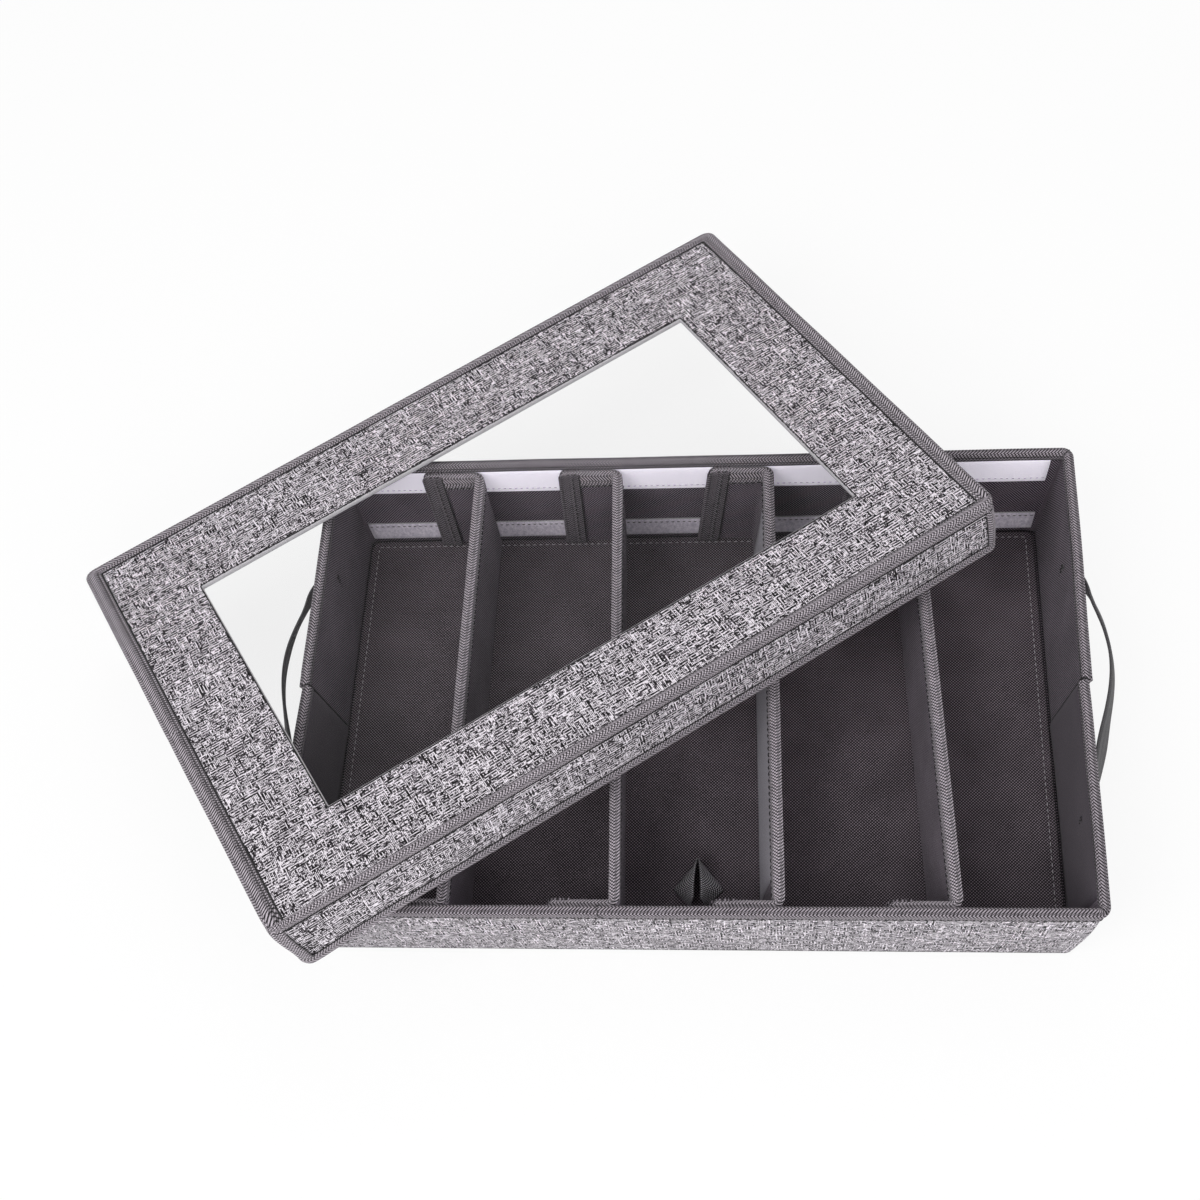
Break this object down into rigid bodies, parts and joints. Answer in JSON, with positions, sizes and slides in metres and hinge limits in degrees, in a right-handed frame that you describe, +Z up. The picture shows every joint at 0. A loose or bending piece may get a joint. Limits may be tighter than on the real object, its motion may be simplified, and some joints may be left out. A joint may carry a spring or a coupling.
{
  "type": "silverware chest",
  "caption": "Low rectangular cloth-covered tub with sliding inner dividers, end strap handles and a loose floor board, under a lift-off lid with a clear window.",
  "frame": {"origin": "middle of the tub's underside, on the surface it stands on", "axes": "+Z up, +X along the tub's length to the right-hand handle, +Y from the front wall to the back wall"},
  "size_m": [0.5887, 0.4845, 0.1315],
  "materials": {
    "woven_linen_cloth": "matte slub weave",
    "edge_tape": "matte herringbone tape",
    "dark_lining_cloth": "matte non-woven with a fine emboss",
    "loop_tape": "fuzzy",
    "hook_tape": "coarse",
    "strap_webbing": "matte webbing",
    "ribbon": "matte ribbon",
    "stiffener_board": "plain",
    "clear_sheet": "clear and glossy"
  },
  "bodies": {
    "base": {"back_wall_board": "stiffener_board", "bottom_board": "stiffener_board", "bottom_cover": "woven_linen_cloth", "floor_board": "stiffener_board", "floor_sleeve": "dark_lining_cloth", "front_wall_board": "stiffener_board", "left_end_board_back": "stiffener_board", "left_end_board_front": "stiffener_board", "left_handle_roots": "strap_webbing", "lower_loop_tape_back": "loop_tape", "lower_loop_tape_front": "loop_tape", "outer_cover": "woven_linen_cloth", "pull_loop_tab": "ribbon", "right_end_board_back": "stiffener_board", "right_end_board_front": "stiffener_board", "right_handle_roots": "strap_webbing", "rim_binding": "edge_tape", "tub_lining": "dark_lining_cloth", "upper_loop_tape_back": "loop_tape", "upper_loop_tape_front": "loop_tape"},
    "lid": {"lid_back_board": "stiffener_board", "lid_corner_tapes": "edge_tape", "lid_cover": "woven_linen_cloth", "lid_front_board": "stiffener_board", "lid_hem_binding": "edge_tape", "lid_left_board": "stiffener_board", "lid_lining": "dark_lining_cloth", "lid_panel_board": "stiffener_board", "lid_right_board": "stiffener_board", "lid_top_binding": "edge_tape", "lid_window_sheet": "clear_sheet"},
    "divider_1": {"divider_1_back_flange": "dark_lining_cloth", "divider_1_binding": "edge_tape", "divider_1_front_flange": "dark_lining_cloth", "divider_1_hook_tapes": "hook_tape", "divider_1_panel": "dark_lining_cloth"},
    "divider_2": {"divider_2_back_flange": "dark_lining_cloth", "divider_2_binding": "edge_tape", "divider_2_front_flange": "dark_lining_cloth", "divider_2_hook_tapes": "hook_tape", "divider_2_panel": "dark_lining_cloth"},
    "divider_3": {"divider_3_back_flange": "dark_lining_cloth", "divider_3_binding": "edge_tape", "divider_3_front_flange": "dark_lining_cloth", "divider_3_hook_tapes": "hook_tape", "divider_3_panel": "dark_lining_cloth"},
    "divider_4": {"divider_4_back_flange": "dark_lining_cloth", "divider_4_binding": "edge_tape", "divider_4_front_flange": "dark_lining_cloth", "divider_4_hook_tapes": "hook_tape", "divider_4_panel": "dark_lining_cloth"},
    "handle_left": {"left_handle_strap": "strap_webbing"},
    "handle_right": {"right_handle_strap": "strap_webbing"},
    "pull_loop": {"pull_loop": "ribbon"}
  },
  "joints": [
    {"name": "lid_lift", "type": "slide", "parent": "base", "child": "lid", "axis": [0, 0, 1], "range_m": [0, 0.2]},
    {"name": "divider_1_slide", "type": "slide", "parent": "base", "child": "divider_1", "axis": [1, 0, 0], "range_m": [-0.016, 0.016]},
    {"name": "divider_2_slide", "type": "slide", "parent": "base", "child": "divider_2", "axis": [1, 0, 0], "range_m": [-0.016, 0.016]},
    {"name": "divider_3_slide", "type": "slide", "parent": "base", "child": "divider_3", "axis": [1, 0, 0], "range_m": [-0.016, 0.016]},
    {"name": "divider_4_slide", "type": "slide", "parent": "base", "child": "divider_4", "axis": [1, 0, 0], "range_m": [-0.016, 0.016]},
    {"name": "handle_left_swing", "type": "hinge", "parent": "base", "child": "handle_left", "pos_m": [-0.21229, 0, 0.048], "axis": [0, 1, 0], "range_deg": [-30, 30]},
    {"name": "handle_right_swing", "type": "hinge", "parent": "base", "child": "handle_right", "pos_m": [0.21229, 0, 0.048], "axis": [0, -1, 0], "range_deg": [-30, 30]},
    {"name": "pull_loop_fold", "type": "hinge", "parent": "base", "child": "pull_loop", "pos_m": [0.006, -0.11397, 0.0067], "axis": [1, 0, 0], "range_deg": [0, 60]}
  ]
}
